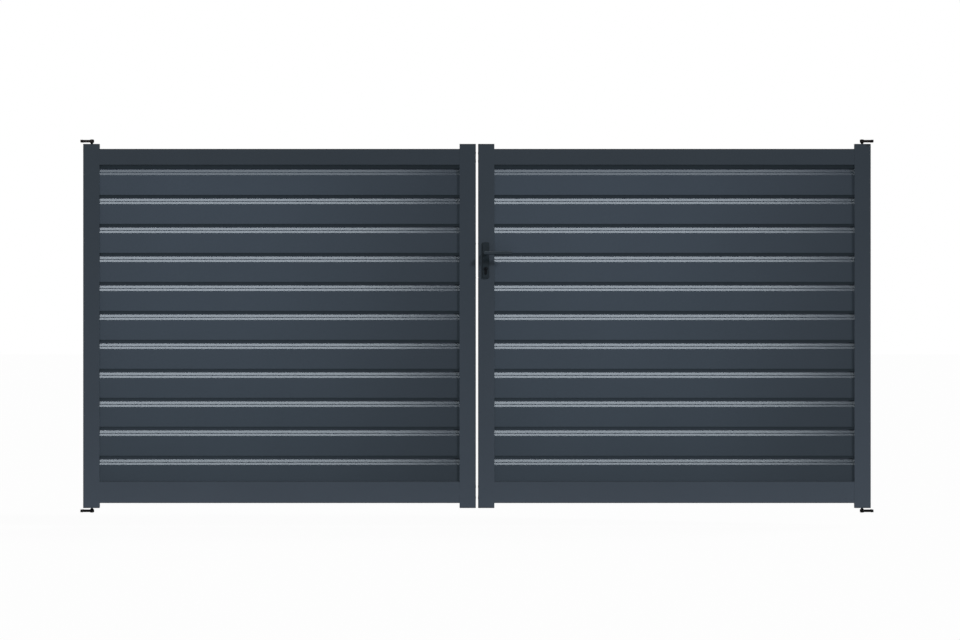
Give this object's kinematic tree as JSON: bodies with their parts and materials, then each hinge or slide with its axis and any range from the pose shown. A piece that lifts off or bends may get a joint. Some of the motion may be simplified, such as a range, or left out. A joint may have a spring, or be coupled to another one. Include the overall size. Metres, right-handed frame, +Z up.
{
  "type": "louvred swing gate",
  "caption": "Double-leaf louvred swing gate with box-section frames, lapped closed louvres, pivot hinge brackets and a lever lock set.",
  "frame": {"origin": "wall face of the lower left hinge bracket's foot, in line with the hinge pin and at the middle of the bracket's height", "axes": "+X along the gate to the right, +Y inwards away from the front, +Z up"},
  "size_m": [3.5, 0.147, 1.649],
  "materials": {
    "louvre_coat": "satin powder coat",
    "frame_coat": "satin powder coat",
    "cap_coat": "satin powder coat",
    "bush_nylon": "plain nylon",
    "hinge_black": "black coat",
    "handle_black": "black coat",
    "lock_steel": "brushed",
    "cylinder_nickel": "dark satin"
  },
  "bodies": {
    "hinge_brackets": {"lower_left_bracket": "hinge_black", "upper_left_bracket": "hinge_black", "lower_right_bracket": "hinge_black", "upper_right_bracket": "hinge_black", "left_hinge_pins": "hinge_black", "right_hinge_pins": "hinge_black"},
    "left_leaf": {"left_hinge_stile": "frame_coat", "left_meeting_stile": "frame_coat", "left_top_rail": "frame_coat", "left_bottom_rail": "frame_coat", "left_stile_caps": "cap_coat", "left_hinge_bushes": "bush_nylon", "left_louvre_01": "louvre_coat", "left_louvre_02": "louvre_coat", "left_louvre_03": "louvre_coat", "left_louvre_04": "louvre_coat", "left_louvre_05": "louvre_coat", "left_louvre_06": "louvre_coat", "left_louvre_07": "louvre_coat", "left_louvre_08": "louvre_coat", "left_louvre_09": "louvre_coat", "left_louvre_10": "louvre_coat", "left_louvre_11": "louvre_coat", "strike_plate": "lock_steel"},
    "right_leaf": {"right_hinge_stile": "frame_coat", "right_meeting_stile": "frame_coat", "right_top_rail": "frame_coat", "right_bottom_rail": "frame_coat", "right_stile_caps": "cap_coat", "right_hinge_bushes": "bush_nylon", "right_louvre_01": "louvre_coat", "right_louvre_02": "louvre_coat", "right_louvre_03": "louvre_coat", "right_louvre_04": "louvre_coat", "right_louvre_05": "louvre_coat", "right_louvre_06": "louvre_coat", "right_louvre_07": "louvre_coat", "right_louvre_08": "louvre_coat", "right_louvre_09": "louvre_coat", "right_louvre_10": "louvre_coat", "right_louvre_11": "louvre_coat", "mortise_lock": "lock_steel", "lock_bolts": "lock_steel", "front_handle_plate": "handle_black", "back_handle_plate": "handle_black", "lock_cylinder": "cylinder_nickel"},
    "lever_handle": {"front_lever": "handle_black", "back_lever": "handle_black", "lever_spindle": "lock_steel"}
  },
  "joints": [
    {"name": "left_leaf_swing", "type": "hinge", "parent": "hinge_brackets", "child": "left_leaf", "pos_m": [0.0485, 0, 0.0125], "axis": [0, 0, 1], "range_deg": [0, 90]},
    {"name": "right_leaf_swing", "type": "hinge", "parent": "hinge_brackets", "child": "right_leaf", "pos_m": [3.4515, 0, 0.0125], "axis": [0, 0, -1], "range_deg": [0, 90]},
    {"name": "lever_turn", "type": "hinge", "parent": "right_leaf", "child": "lever_handle", "pos_m": [1.789, 0, 1.1385], "axis": [0, 1, 0], "range_deg": [0, 45], "stiffness_Nm_per_rad": 1.2, "springref_deg": -20.05}
  ]
}
